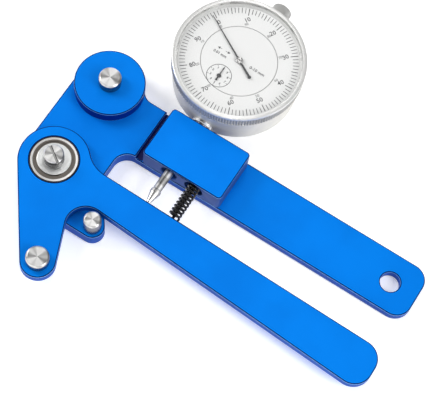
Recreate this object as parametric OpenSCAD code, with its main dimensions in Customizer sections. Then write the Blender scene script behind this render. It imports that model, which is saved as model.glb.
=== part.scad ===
// Spoke tension meter: a fixed arm and a sprung lever joined by a ball bearing,
// three steel posts that take the spoke, and a dial gauge clamped in a block.
// Millimetres. The tool lies on its back: z = 0 is the underside of the fixed arm,
// the origin is on the pivot axis and +X runs along the handle.

/* [Arms] */
// Thickness of the fixed arm's handle
handle_t = 5; // [4:0.5:6]
// Thickness of the fixed arm's head and tail
head_t = 7.5; // [7:0.5:9]
// Thickness of the lever
lever_t = 5; // [4.5:0.5:6]
// Height of the handle's front edge above the pivot
handle_y = 23.1; // [22:0.5:25]
// Width of the handle
handle_w = 26.2; // [24:0.5:30]
// Distance from the pivot to the handle's end
handle_end = 166.6; // [140:1:190]
// Corner radius at the handle's end
handle_r = 7.5; // [3:0.5:11]
// Distance that the lever reaches past the handle's end
lever_over = 0.4; // [-2:0.1:4]
// Corner radius at the lever's end
lever_r = 8.5; // [3:0.5:9]
// Height of the lever's upper edge, carried back to the pivot
lever_top_y = 6.58; // [5:0.1:8]
// Slope of the lever's upper edge
lever_top_tilt = -0.82; // [-2:0.1:0]
// Height of the lever's lower edge, carried back to the pivot
lever_low_y = -7.9; // [-9:0.1:-7]
// Slope of the lever's lower edge
lever_low_tilt = -3.12; // [-5:0.1:-1]
// Radius of both arms around the pivot
boss_r = 16.15; // [15.5:0.1:18]
// Radius of the blend between the lever's boss and its upper edge
lever_blend_r = 15.4; // [8:0.1:20]
// Radius of the blend behind the lever's leg
leg_blend_r = 9; // [8:0.1:9.5]
// Place of that blend along the lever
leg_blend_x = 28.9; // [28.5:0.1:30]
// Radius of the lever's leg around its post
leg_r = 7.9; // [6.5:0.1:9]
// Radius of the corner where the head meets the handle
throat_r = 7.1; // [5:0.1:9]
// Left side of the throat between the arms
throat_x = 21.1; // [19:0.1:23]
// Right side of the raised head
head_step_x = 27.8; // [24:0.1:29]
// Radius of the blend from the head's boss to the handle's back edge
head_blend_r = 6; // [4:0.5:9]
// Radius of the tail around its post
tail_r = 5.5; // [4.8:0.1:6.5]
// Place where the tail's straight lower edge begins
tail_root_x = 12; // [8:0.5:16]
// Direction of the tail's upper edge
tail_slant = 126; // [118:1:132]
// Diameter of the hanging hole
hang_d = 9.1; // [6:0.1:12]
// Distance from the hanging hole to the handle's end
hang_inset = 13.6; // [10:0.1:20]
// Free play between the head and the lever
arm_gap = 0.3; // [0.2:0.05:0.5]

/* [Posts] */
// Distance from the pivot to the post on the round disc
post_a_y = 44.6; // [42:0.1:48]
// Diameter of the post on the disc
post_a_d = 10.3; // [8:0.1:12]
// Height of that post above the disc
post_a_h = 5.4; // [4:0.1:8]
// Radius of the disc and of the head around it
disc_r = 16.1; // [14:0.1:16.1]
// Thickness of the disc
disc_t = 6.3; // [4:0.1:8]
// Place of the tail's post along the handle's direction
post_b_x = 30.2; // [29.5:0.1:31]
// Place of the tail's post across it
post_b_y = -15.2; // [-16:0.1:-14.8]
// Diameter of the tail's post
post_b_d = 8.1; // [6:0.1:8.4]
// Height of the tail's post above the tail
post_b_h = 8.4; // [6:0.1:10]
// Place of the leg's post along the handle's direction
post_c_x = 20.5; // [18:0.1:22]
// Place of the leg's post across it
post_c_y = -42.9; // [-46:0.1:-40]
// Diameter of the leg's post
post_c_d = 10.4; // [8:0.1:12]
// Height of the leg's post above the lever
post_c_h = 4.9; // [4:0.1:8]
// Bevel at the top of each post
post_bevel = 0.7; // [0.3:0.1:1]
// Diameter of the spigot that seats a post
spigot_d = 6; // [5:0.1:7]
// Depth of a spigot in its plate
spigot_l = 3; // [2.5:0.1:3.5]
// Diameter of the screws that hold the posts
post_screw_d = 3; // [2:0.5:3]

/* [Pivot] */
// Outer diameter of the bearing
bearing_d = 22; // [20:0.5:24]
// Bore of the bearing
bearing_bore = 10; // [8:0.5:10.5]
// Width of the bearing
bearing_w = 6; // [5.5:0.5:6]
// Diameter of the bearing's balls
ball_d = 2.8; // [2.4:0.1:2.9]
// Number of balls
balls = 9; // [7:1:10]
// Thickness of the thrust washer
thrust_t = 0.5; // [0.3:0.1:0.8]
// Diameter of the cover washer on the bearing
cover_d = 15.3; // [14:0.1:16]
// Thickness of the cover washer
cover_t = 0.6; // [0.4:0.1:1]
// Diameter of the slotted pivot nut
nut_d = 9; // [8:0.1:11]
// Height of the slotted pivot nut
nut_h = 5.6; // [4:0.1:8]
// Width of the slot in the nut
slot_w = 1.1; // [0.8:0.1:1.6]
// Thread diameter at the top of the pivot stud
stud_thread_d = 6; // [5:0.5:6]
// Diameter of the stud's flange under the head
flange_d = 15; // [13:0.5:18]
// Thickness of the stud's flange
flange_t = 2; // [1.5:0.1:2.5]

/* [Clamp block] */
// Left side of the block
block_x = 31; // [30:0.1:32]
// Length of the block
block_l = 40.5; // [38:0.1:46]
// Height of the block above the handle
block_h = 11; // [10.5:0.1:13]
// Radius of the block's four upright corners
block_r = 1.8; // [1:0.1:3]
// Diameter of the two screws that hold the block
block_screw_d = 4; // [3:0.5:5]
// Distance from the block's ends to those screws
block_screw_inset = 5.4; // [4.5:0.1:5.8]
// Diameter of the grub screw that clamps the gauge
grub_d = 4; // [3:0.5:5]

/* [Main spring] */
// Place of the spring along the arms
spring_x = 58; // [57.5:0.1:62]
// Outer diameter of the spring
spring_d = 6.1; // [5.5:0.1:6.5]
// Diameter of its wire
wire_d = 1; // [0.8:0.05:1.1]
// Number of coils
coils = 14; // [10:1:15]
// Diameter of the spring's hole in the block
spring_hole_d = 9.4; // [7.5:0.1:9.8]
// Depth of the spring's hole in the block
spring_seat_l = 12; // [10:0.5:14]
// Diameter of the guide pin in the lever's edge
guide_pin_d = 3.2; // [2.5:0.1:3.4]
// Length of the guide pin outside the lever
guide_pin_out = 4; // [3:0.5:5]

/* [Dial gauge] */
// Place of the gauge's axis along the arms
gauge_x = 45; // [44:0.1:45.5]
// Gap between the clamp block and the gauge's case
gauge_gap = 2; // [1.3:0.1:5]
// Outer diameter of the stem
stem_d = 8; // [7:0.5:8]
// Length of the stem inside the block
stem_in = 18; // [14:0.5:22]
// Diameter of the plunger
plunger_d = 4.1; // [3.5:0.1:4.4]
// Length of the contact point
point_l = 10; // [8:0.5:12]
// Largest diameter of the contact point
point_d = 5; // [4.5:0.1:5.4]
// Radius of the contact point's tip
tip_r = 1.2; // [0.8:0.1:1.4]
// Outer diameter of the bezel
bezel_d = 60.6; // [58:0.1:62]
// Height of the bezel above the gauge's axis
bezel_top = 19.5; // [19:0.1:21]
// Height of the bezel itself
bezel_h = 6.6; // [6:0.1:7]
// Wall of the bezel
bezel_wall = 2.2; // [2:0.1:2.6]
// Thickness of the crystal
crystal_t = 1.2; // [1:0.1:1.4]
// Wall of the gauge's case
case_wall = 2.2; // [1.8:0.1:2.6]
// Width of the bevel around the case's back
case_bevel = 3; // [2:0.1:3.5]
// Diameter of the inner dial
dial_d = 34.2; // [33:0.1:36]
// Thickness of the dial and its scale ring
dial_t = 0.5; // [0.4:0.1:0.8]
// Diameter of the cap on the gauge's top
cap_d = 9.4; // [8.5:0.1:11]
// Length of the cap
cap_l = 11.5; // [11:0.5:14]
// Distance that the cap stands out past the bezel
cap_out = 12.2; // [11.6:0.1:15]
// Teeth of the pinion on the rack
rack_teeth = 16; // [16:1:16]
// Distance that the plunger moves for one turn of the main pointer
travel_per_turn = 1; // [1:1:1]
// Length of the main pointer from its hub
pointer_l = 25; // [22:0.1:25]
// Length of the small pointer from its hub
small_pointer_l = 4.8; // [3.5:0.1:5.2]
// Direction of the main pointer
pointer_angle = 150; // [140:1:160]

/* [Fits] */
// Gap around a turning or sliding fit
run_gap = 0.05; // [0.03:0.01:0.08]
// Gap around a fixed fit
seat_gap = 0.02; // [0.01:0.01:0.03]
// Gap between parts that must not rub
clear_gap = 0.3; // [0.2:0.05:0.4]
// Gap between the contact point and the lever
touch_gap = 0.1; // [0.05:0.05:0.2]

/* [Hidden] */
$fn = 64;
arc_step = 4;
hull_fn = 32;
eps = 0.01;

lever_end = handle_end + lever_over;
lever_z = head_t + arm_gap;
lever_top = lever_z + lever_t;
handle_back = handle_y + handle_w;
hang = [handle_end - hang_inset, handle_y + handle_w / 2];
post_a = [0, post_a_y];
post_b = [post_b_x, post_b_y];
post_c = [post_c_x, post_c_y];
disc_z = head_t;
block_top = handle_t + block_h;
axis_z = handle_t + block_h / 2;

// Bearing stack: its top is flush with the lever, and it dips into a recess in the head.
bearing_z = lever_top - bearing_w;
recess_z = bearing_z - thrust_t;
ball_ring_r = (bearing_d + bearing_bore) / 4;
race_out_r = ball_ring_r + ball_d * 0.42;
race_in_r = ball_ring_r - ball_d * 0.42;
shield_inset = 0.4;
shield_t = 0.3;
cover_z = lever_top;
nut_z = cover_z + cover_t;

// Dial gauge levels, counted up from the gauge's axis.
bezel_r = bezel_d / 2;
bezel_z1 = axis_z + bezel_top;
bezel_z0 = bezel_z1 - bezel_h;
bezel_lip_t = 0.4;
crystal_z = bezel_z1 - bezel_lip_t - crystal_t;
bezel_bore_r = bezel_r - bezel_wall;
crystal_r = bezel_bore_r + 0.5;
case_r = bezel_r - 1.5;
dial_y = handle_back + gauge_gap + case_r;
gauge = [gauge_x, dial_y];
cap_end = bezel_r + cap_out;
web_top = bezel_z0 + 2.9;
web_t = 1.2;
rim_r = bezel_bore_r - run_gap;
case_z = axis_z - 4.7;
case_in_r = case_r - case_wall;
lip_t = 1.4;
lip_in_r = case_r - case_bevel - 3.8;
cover_edge_z = case_z + lip_t;
dial_z = web_top;
ring_z = dial_z + 0.2;
dial_face = ring_z + dial_t;
dial_r = dial_d / 2;
small_pointer_z = dial_face + 0.15;
pointer_z = small_pointer_z + 0.45;
hand_t = 0.25;

// Gear train: the rack turns a pinion once in 10 mm, and its wheel turns the centre pinion.
wheel_ratio = 10;
rack_pinion_r = travel_per_turn * wheel_ratio / (2 * PI);
rack_flat = plunger_d / 2 - 0.05;
small_offset = [-(rack_flat + rack_pinion_r + run_gap), -11.2];
small_hub = gauge + small_offset;
mesh_distance = norm(small_offset) - run_gap;
wheel_r = mesh_distance * wheel_ratio / (wheel_ratio + 1);
centre_pinion_r = mesh_distance / (wheel_ratio + 1);
takeup_hub = gauge + norm(small_offset) * [cos(40), sin(40)];
wheel_z = axis_z + 6.6;
takeup_z = wheel_z + 1.6;
wheel_t = 0.8;
bridge_z = axis_z + plunger_d / 2 + 0.9;
bridge_t = 1.2;
bridge_r = lip_in_r - 2.5;
arbor_r = 0.75;
pillar_r = 1.6;
pillars = [[-15, -2], [-2, 17], [15, -9]];

// Lever edge above a point of the pivot's line, and where the spring and the point meet it.
function lever_edge(x) = lever_top_y + x * tan(lever_top_tilt);
function lever_low(x) = lever_low_y + x * tan(lever_low_tilt);
spring_y0 = lever_edge(spring_x) + 2 * seat_gap;
spring_y1 = handle_y + spring_seat_l;
guide_pin_in = 6;
tip_y = lever_edge(gauge_x) + touch_gap;
point_top = tip_y + point_l;
stem_end_y = handle_back - stem_in;
stem_top_y = dial_y - case_in_r + 1.5;
plunger_top_y = dial_y + case_r + 6;

// ---- helpers ----

function polar(r, a) = [r * cos(a), r * sin(a)];
function aim(p) = atan2(p[1], p[0]);

// Points of an arc from angle a0 to a1 about c, in steps of about arc_step degrees.
function arc(c, r, a0, a1) =
    let (n = max(2, ceil(abs(a1 - a0) / arc_step)))
    [for (i = [0 : n]) c + polar(r, a0 + (a1 - a0) * i / n)];

// Direction of the normal of the tangent that leaves circles (c1, r1) and (c2, r2) on one side.
function tangent_angle(c1, r1, c2, r2, side) = aim(c2 - c1) + side * acos((r1 - r2) / norm(c2 - c1));

module on_axis(p, z) translate([p[0], p[1], z]) children();

// Lies along +Y from the given height, centred on x and the gauge's axis.
module along_y(x, y, z = axis_z) translate([x, y, z]) rotate([-90, 0, 0]) children();

module ring(r_out, r_in, h) {
    difference() {
        cylinder(r = r_out, h = h);
        translate([0, 0, -1]) cylinder(r = r_in, h = h + 2);
    }
}

// ---- arms ----

// Outline of the fixed arm, anticlockwise from the left of the head.
module arm_outline() {
    root = [tail_root_x, post_b_y];
    root_a = tangent_angle([0, 0], boss_r, root, tail_r, -1);
    slant_n = tail_slant - 90;
    tail_top = post_b + polar(tail_r, slant_n);
    slant_y = tail_top[1] + (throat_x - tail_top[0]) * tan(tail_slant);
    end_x = handle_end - handle_r;
    blend_y = handle_back + head_blend_r;
    blend_x = sqrt(pow(disc_r + head_blend_r, 2) - pow(blend_y - post_a_y, 2));
    blend = [blend_x, blend_y];
    polygon(concat(
        arc(post_a, disc_r, aim(blend - post_a), 180),
        arc([0, 0], boss_r, 180, 360 + root_a),
        arc(root, tail_r, root_a, -90),
        arc(post_b, tail_r, -90, slant_n),
        [[throat_x, slant_y]],
        arc([throat_x + throat_r, handle_y - throat_r], throat_r, 180, 90),
        arc([end_x, handle_y + handle_r], handle_r, -90, 0),
        arc([end_x, handle_back - handle_r], handle_r, 0, 90),
        arc(blend, head_blend_r, -90, aim(post_a - blend))
    ));
}

// Outline of the lever, anticlockwise from the top of the leg.
module lever_outline() {
    blend_h = lever_blend_r + lever_top_y * cos(lever_top_tilt);
    blend_s = sqrt(pow(boss_r + lever_blend_r, 2) - pow(blend_h, 2)) - lever_top_y * sin(lever_top_tilt);
    blend = [0, lever_top_y] + polar(blend_s, lever_top_tilt) + polar(lever_blend_r, 90 + lever_top_tilt);
    relief = [leg_blend_x, lever_low(leg_blend_x) - leg_blend_r / cos(lever_low_tilt)];
    left_a = tangent_angle([0, 0], boss_r, post_c, leg_r, -1);
    right_a = aim(relief - post_c) - acos((leg_r + leg_blend_r) / norm(relief - post_c));
    end_x = lever_end - lever_r;
    polygon(concat(
        arc(post_c, leg_r, left_a, right_a),
        arc(relief, leg_blend_r, right_a + 180, 90 + lever_low_tilt),
        arc([end_x, lever_low(end_x) + lever_r / cos(lever_low_tilt)], lever_r, -90 + lever_low_tilt, 0),
        arc([end_x, lever_edge(end_x) - lever_r / cos(lever_top_tilt)], lever_r, 0, 90 + lever_top_tilt),
        arc(blend, lever_blend_r, -90 + lever_top_tilt, aim(-blend)),
        arc([0, 0], boss_r, aim(blend), 360 + left_a)
    ));
}

// Cuts for a post's spigot and its countersunk screw, in a plate from z0 to z1.
module post_seat(z0, z1) {
    translate([0, 0, z1 - spigot_l]) cylinder(d = spigot_d + 2 * seat_gap, h = spigot_l + 1);
    screw_cut(z0, post_screw_d, z1 - z0);
}

module screw_cut(z0, d, l) {
    translate([0, 0, z0 - eps]) cylinder(r1 = d + clear_gap + eps, r2 = d / 2 + clear_gap / 2, h = d / 2 + clear_gap / 2);
    translate([0, 0, z0]) cylinder(r = d / 2 + clear_gap / 2, h = l + 1);
}

// Countersunk screw with a hexagon socket, head down at z0.
module csk_screw(z0, d, l) {
    difference() {
        union() {
            translate([0, 0, z0 + 0.1]) cylinder(r1 = d, r2 = d / 2, h = d / 2);
            translate([0, 0, z0 + 0.1]) cylinder(d = d, h = l);
        }
        translate([0, 0, z0]) cylinder(d = d * 0.62, h = d * 0.45, $fn = 6);
    }
}

module upper_arm() {
    color("dodgerblue") difference() {
        linear_extrude(height = head_t) arm_outline();
        translate([head_step_x, handle_y - throat_r - 1, handle_t])
            cube([handle_end, handle_w + 2 * (throat_r + disc_r), head_t]);
        on_axis(hang, -1) cylinder(d = hang_d, h = handle_t + 2);
        on_axis(post_a, 0) post_seat(0, head_t);
        on_axis(post_b, 0) post_seat(0, head_t);
        translate([0, 0, -1]) cylinder(d = flange_d + 2 * seat_gap, h = flange_t + 1);
        cylinder(d = bearing_bore + 2 * seat_gap, h = head_t);
        translate([0, 0, recess_z]) cylinder(d = bearing_d + 2, h = head_t);
        block_screw_places() screw_cut(0, block_screw_d, handle_t);
        grub_place() translate([0, 0, -1]) cylinder(d = grub_d + 2 * clear_gap, h = handle_t + 2);
    }
}

module lower_arm() {
    color("dodgerblue") difference() {
        translate([0, 0, lever_z]) linear_extrude(height = lever_t) lever_outline();
        translate([0, 0, lever_z - 1]) cylinder(d = bearing_d + 2 * seat_gap, h = lever_t + 2);
        on_axis(post_c, 0) post_seat(lever_z, lever_top);
        along_y(spring_x, spring_y0 - guide_pin_in) cylinder(d = guide_pin_d + 2 * seat_gap, h = guide_pin_in + 5);
    }
}

// ---- posts ----

// A turned post: a bevelled head from z0 up, over a spigot with a tapped hole.
module post(d, z0, h, spigot) {
    difference() {
        union() {
            translate([0, 0, z0]) cylinder(d = d, h = h - post_bevel);
            translate([0, 0, z0 + h - post_bevel]) cylinder(r1 = d / 2, r2 = d / 2 - post_bevel, h = post_bevel);
            translate([0, 0, z0 - spigot]) cylinder(d = spigot_d, h = spigot + 1);
        }
        translate([0, 0, z0 - spigot - 1]) cylinder(d = post_screw_d + 2 * seat_gap, h = spigot + 4);
    }
}

module guide_disc() {
    color("dodgerblue") on_axis(post_a, disc_z) ring(disc_r, spigot_d / 2 + seat_gap, disc_t);
}

module post_a() {
    color("silver") on_axis(post_a, 0)
        post(post_a_d, disc_z + disc_t, post_a_h, disc_t + spigot_l - seat_gap);
}

module post_b() {
    color("silver") on_axis(post_b, 0) post(post_b_d, head_t, post_b_h, spigot_l - seat_gap);
}

module post_c() {
    color("silver") on_axis(post_c, 0) post(post_c_d, lever_top, post_c_h, spigot_l - seat_gap);
}

module arm_post_screws() {
    color("dimgray") {
        on_axis(post_a, 0) csk_screw(0, post_screw_d, head_t + 1);
        on_axis(post_b, 0) csk_screw(0, post_screw_d, head_t + 1);
    }
}

module leg_post_screw() {
    color("dimgray") on_axis(post_c, 0) csk_screw(lever_z, post_screw_d, lever_t + 1);
}

// ---- pivot ----

module pivot_stud() {
    color("silver") {
        cylinder(d = flange_d, h = flange_t);
        translate([0, 0, flange_t - eps]) cylinder(d = bearing_bore - 2 * run_gap, h = cover_z - flange_t + eps - 0.1);
        translate([0, 0, flange_t]) cylinder(d = stud_thread_d, h = nut_z + nut_h - 2 - flange_t);
    }
}

module thrust_washer() {
    color("gray") translate([0, 0, recess_z]) ring(race_in_r - 0.2, bearing_bore / 2 + run_gap, thrust_t);
}

// One race: a ring with the balls' groove and a bevel on its outer corners.
module race(r_out, r_in, bevel) {
    rotate_extrude() difference() {
        polygon([[r_in, 0], [r_out - bevel, 0], [r_out, bevel], [r_out, bearing_w - bevel],
            [r_out - bevel, bearing_w], [r_in, bearing_w]]);
        translate([ball_ring_r, bearing_w / 2]) circle(d = ball_d + 2 * run_gap);
    }
}

module bearing_inner_race() {
    color("silver") translate([0, 0, bearing_z]) race(race_in_r, bearing_bore / 2, 0.1);
}

module bearing_outer_race() {
    color("silver") translate([0, 0, bearing_z]) race(bearing_d / 2, race_out_r, 0.6);
}

module bearing_balls() {
    color("white") for (i = [0 : balls - 1])
        rotate(i * 360 / balls) translate([ball_ring_r, 0, bearing_z + bearing_w / 2]) sphere(d = ball_d);
}

module bearing_cage() {
    crown_h = bearing_w / 2 - shield_inset - shield_t - 0.3;
    color("goldenrod") translate([0, 0, bearing_z + bearing_w / 2]) difference() {
        translate([0, 0, 0.2]) ring(race_out_r - 0.2, race_in_r + 0.2, crown_h);
        for (i = [0 : balls - 1])
            rotate(i * 360 / balls) translate([ball_ring_r, 0, 0]) sphere(d = ball_d + 2 * run_gap);
    }
}

module bearing_shields() {
    color("gray") {
        translate([0, 0, lever_top - shield_inset - shield_t])
            ring(race_out_r - seat_gap, race_in_r + clear_gap, shield_t);
        translate([0, 0, bearing_z + shield_inset])
            ring(race_out_r - seat_gap, race_in_r + clear_gap, shield_t);
    }
}

module cover_washer() {
    color("gainsboro") translate([0, 0, cover_z]) ring(cover_d / 2, stud_thread_d / 2 + clear_gap, cover_t);
}

module pivot_nut() {
    color("silver") translate([0, 0, nut_z]) difference() {
        union() {
            cylinder(d = nut_d, h = nut_h - 0.5);
            translate([0, 0, nut_h - 0.5]) cylinder(r1 = nut_d / 2, r2 = nut_d / 2 - 0.5, h = 0.5);
        }
        translate([0, 0, -1]) cylinder(d = stud_thread_d + 2 * seat_gap, h = nut_h - 1);
        rotate(-35) translate([-nut_d, -slot_w / 2, nut_h - 1]) cube([2 * nut_d, slot_w, 2]);
    }
}

// ---- clamp block ----

module block_screw_places() {
    for (x = [block_x + block_screw_inset, block_x + block_l - block_screw_inset])
        translate([x, handle_y + handle_w / 2, 0]) children();
}

module grub_place() {
    translate([gauge_x, stem_end_y + stem_in / 2, 0]) children();
}

module gauge_block() {
    x1 = block_x + block_l;
    color("dodgerblue") difference() {
        translate([0, 0, handle_t]) linear_extrude(height = block_h) polygon(concat(
            arc([block_x + block_r, handle_y + block_r], block_r, 180, 270),
            arc([x1 - block_r, handle_y + block_r], block_r, 270, 360),
            arc([x1 - block_r, handle_back - block_r], block_r, 0, 90),
            arc([block_x + block_r, handle_back - block_r], block_r, 90, 180)));
        along_y(gauge_x, handle_y - 1) cylinder(d = stem_d + 2 * seat_gap, h = handle_w + 2);
        along_y(gauge_x, handle_y - eps) cylinder(r1 = stem_d / 2 + 0.5, r2 = stem_d / 2, h = 0.5);
        along_y(spring_x, handle_y - 1) cylinder(d = spring_hole_d, h = spring_seat_l + 1);
        block_screw_places() translate([0, 0, handle_t - 1]) cylinder(d = block_screw_d + 2 * seat_gap, h = block_h - 1);
        grub_place() translate([0, 0, handle_t - 1]) cylinder(d = grub_d + 2 * seat_gap, h = block_h / 2);
    }
}

module block_screws() {
    color("dimgray") block_screw_places() csk_screw(0, block_screw_d, handle_t + block_h - 4);
}

module stem_grub_screw() {
    color("dimgray") grub_place() difference() {
        translate([0, 0, 1]) cylinder(d = grub_d, h = axis_z - stem_d / 2 - 1 - seat_gap);
        translate([0, 0, 0]) cylinder(d = grub_d / 2, h = 2.5, $fn = 6);
    }
}

// ---- main spring ----

// Centre line of the wire: straight out of the block, round the coils, straight onto the lever.
coil_r = (spring_d - wire_d) / 2;
coil_rings = 8 * coils;
coil_y0 = spring_y0 + wire_d + wire_d / 2;
coil_y1 = spring_y1 - wire_d - wire_d / 2;
function coil_point(i) =
    let (a = 360 * i / 8, t = i / coil_rings)
    [spring_x + coil_r * cos(a), coil_y0 + (coil_y1 - coil_y0) * t, axis_z + coil_r * sin(a)];
coil_path = [for (i = [0 : coil_rings]) coil_point(i)];
coil_pitch = (coil_y1 - coil_y0) / coils;
wire_sides = 6;

// A ring of wire_sides points about p, in the plane of the spring's axis and the outward direction d.
function wire_ring(p, d, up) =
    [for (k = [0 : wire_sides - 1]) p + wire_d / 2 * (cos(60 * k) * d + sin(60 * k) * up)];
function unit(v) = v / norm(v);
function coil_out(i) = [cos(45 * i), 0, sin(45 * i)];
function coil_dir(i) = unit([-coil_r * sin(45 * i) * 2 * PI, coil_pitch, coil_r * cos(45 * i) * 2 * PI]);
start = [spring_x + coil_r, 0, axis_z];
wire_rings = concat(
    [wire_ring(start + [0, spring_y0, 0], [1, 0, 0], [0, 0, -1])],
    [wire_ring(start + [0, spring_y0 + wire_d, 0], [1, 0, 0], [0, 0, -1])],
    [for (i = [0 : coil_rings]) wire_ring(coil_path[i], coil_out(i), cross(coil_dir(i), coil_out(i)))],
    [wire_ring(start + [0, spring_y1 - wire_d, 0], [1, 0, 0], [0, 0, -1])],
    [wire_ring(start + [0, spring_y1, 0], [1, 0, 0], [0, 0, -1])]);

// Least distance between wire centres that lie more than half a coil apart, less the wire.
function least_gap(path) = min([for (i = [0 : len(path) - 6], j = [i + 5 : min(i + 16, len(path) - 1)])
    norm(path[i] - path[j])]) - wire_d;

module tube(rings) {
    n = len(rings[0]);
    last = len(rings) - 1;
    polyhedron(
        points = [for (r = rings, p = r) p],
        faces = concat(
            [[for (k = [0 : n - 1]) k]],
            [for (j = [0 : last - 1], k = [0 : n - 1], h = [0, 1])
                let (a = j * n + k, b = j * n + (k + 1) % n)
                h == 0 ? [a, a + n, b] : [b, a + n, b + n]],
            [[for (k = [n - 1 : -1 : 0]) last * n + k]]));
}

module main_spring() {
    echo(spring_gap_to_itself = least_gap(coil_path));
    color("#202020") tube(wire_rings);
}

module spring_guide_pin() {
    color("silver") along_y(spring_x, spring_y0 - guide_pin_in) cylinder(d = guide_pin_d, h = guide_pin_in + guide_pin_out);
}

// ---- dial gauge: case ----

module turned(profile) translate([gauge[0], gauge[1], 0]) rotate_extrude() polygon(profile);

module gauge_case() {
    color("silver") difference() {
        union() {
            turned([[lip_in_r, case_z], [case_r - case_bevel, case_z], [case_r, case_z + case_bevel],
                [case_r, bezel_z0 - clear_gap], [rim_r, bezel_z0 - clear_gap], [rim_r, web_top],
                [0, web_top], [0, web_top - web_t], [case_in_r, web_top - web_t],
                [case_in_r, case_z + case_bevel + lip_t / 2], [case_r - case_bevel - lip_t / 2, case_z + lip_t],
                [lip_in_r, case_z + lip_t]]);
            along_y(gauge_x, dial_y - case_r - 1.2) cylinder(d = stem_d + 3, h = case_wall + 2);
        }
        along_y(gauge_x, dial_y - case_r - 2) cylinder(d = stem_d + 2 * seat_gap, h = case_wall + 5);
        along_y(gauge_x, dial_y) cylinder(d = bush_d + 2 * seat_gap, h = case_r + 1);
        turned([[rim_r - 0.6, ring_groove_z], [rim_r + 1, ring_groove_z],
            [rim_r + 1, ring_groove_z + 0.7], [rim_r - 0.6, ring_groove_z + 0.7]]);
        cover_screw_places() translate([0, 0, case_z - 1]) cylinder(r = 0.8 + seat_gap, h = lip_t + 2);
        on_axis(gauge, web_top - web_t - 1) cylinder(r = arbor_r + clear_gap, h = web_t + 2);
        on_axis(small_hub, web_top - web_t - 1) cylinder(r = arbor_r + clear_gap, h = web_t + 2);
        for (p = pillars) on_axis(gauge + p, web_top - web_t - 1) cylinder(r = 0.8 + seat_gap, h = web_t + 0.5);
    }
}

bush_d = plunger_d + 2.4;
bush_in_cap = 5;
ring_groove_z = bezel_z0 + 1;
cover_t2 = 2;

module back_cover() {
    outer = case_r - case_bevel;
    color("silver") difference() {
        turned([[0, case_z - cover_t2], [outer - 1.4, case_z - cover_t2], [outer - 0.4, case_z - cover_t2 + 1],
            [outer - 0.4, case_z], [lip_in_r - seat_gap, case_z], [lip_in_r - seat_gap, cover_edge_z],
            [0, cover_edge_z]]);
        cover_screw_places() translate([0, 0, case_z - 3]) cylinder(r = 0.8 + seat_gap, h = 4);
        cover_screw_places() translate([0, 0, case_z - 3]) cylinder(r = 1.5 + seat_gap, h = 2);
    }
}

module cover_screw_places() {
    for (a = [45 : 90 : 315]) on_axis(gauge + polar(lip_in_r + 1.7, a), 0) children();
}

module back_cover_screws() {
    color("dimgray") cover_screw_places() difference() {
        union() {
            translate([0, 0, case_z - 1.9]) cylinder(r = 1.5, h = 0.9);
            translate([0, 0, case_z - 1.1]) cylinder(r = 0.8, h = 1 + lip_t);
        }
        translate([-2, -0.2, case_z - 2.4]) cube([4, 0.4, 0.8]);
    }
}

module gauge_stem() {
    color("silver") along_y(gauge_x, stem_end_y) difference() {
        cylinder(d = stem_d, h = stem_top_y - stem_end_y);
        translate([0, 0, -1]) cylinder(d = plunger_d + 2 * run_gap, h = stem_top_y - stem_end_y + 2);
    }
}

module top_bush() {
    y0 = dial_y + case_in_r - 1.5;
    y1 = dial_y + cap_end - cap_l + bush_in_cap;
    color("silver") along_y(gauge_x, y0) ring(bush_d / 2, plunger_d / 2 + run_gap, y1 - y0);
}

module top_cap() {
    y0 = dial_y + cap_end - cap_l;
    color("silver") along_y(gauge_x, y0) difference() {
        union() {
            cylinder(d = cap_d - 1.4, h = cap_l - 0.5);
            translate([0, 0, 2]) cylinder(d = cap_d, h = cap_l - 2.6);
            translate([0, 0, cap_l - 0.6]) cylinder(r1 = cap_d / 2, r2 = cap_d / 2 - 0.6, h = 0.6);
        }
        translate([0, 0, -1]) cylinder(d = bush_d + 2 * seat_gap, h = cap_l);
    }
}

// ---- dial gauge: plunger and movement ----

module plunger() {
    flat_y0 = small_hub[1] - rack_pinion_r - 7;
    color("lightgray") difference() {
        along_y(gauge_x, point_top) cylinder(d = plunger_d, h = plunger_top_y - point_top);
        translate([gauge_x - plunger_d - rack_flat, flat_y0, axis_z - plunger_d])
            cube([plunger_d, 2 * rack_pinion_r + 8, 2 * plunger_d]);
        along_y(gauge_x, point_top - 1) cylinder(r = 1.25, h = 6);
        translate([gauge_x - plunger_d, key_y, axis_z]) rotate([0, 90, 0])
            cylinder(r = key_r + seat_gap, h = 2 * plunger_d);
    }
}

key_y = dial_y + 8;
key_r = 0.75;
return_x = plunger_d / 2 + 4.5;
return_y = dial_y - 7.5;
anchor_r = 0.8;

module plunger_key() {
    color("silver") translate([gauge_x - return_x - 1, key_y, axis_z]) rotate([0, 90, 0])
        cylinder(r = key_r, h = return_x + 1 + 5.5);
}

// Slotted bar beside the plunger that stops it from turning.
module key_guide() {
    color("tan") difference() {
        translate([gauge_x + plunger_d / 2 + 0.6, key_y - 2.5, cover_edge_z])
            cube([4, 12, axis_z + 2.2 - cover_edge_z]);
        translate([gauge_x + plunger_d / 2, key_y - 1.5, axis_z - key_r - run_gap])
            cube([6, 10, 2 * (key_r + run_gap)]);
    }
}

// Tension spring beside the plunger: from a pin on the back cover to the plunger's key.
module return_spring() {
    color("gray") along_y(gauge_x - return_x, return_y, axis_z)
        ring(1.6, 1.1, key_y - key_r - 2 * seat_gap - return_y);
}

module spring_anchor() {
    color("silver") on_axis([gauge_x - return_x, return_y - anchor_r - 2 * seat_gap], cover_edge_z)
        cylinder(r = anchor_r, h = axis_z + 1.6 - cover_edge_z);
}

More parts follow.
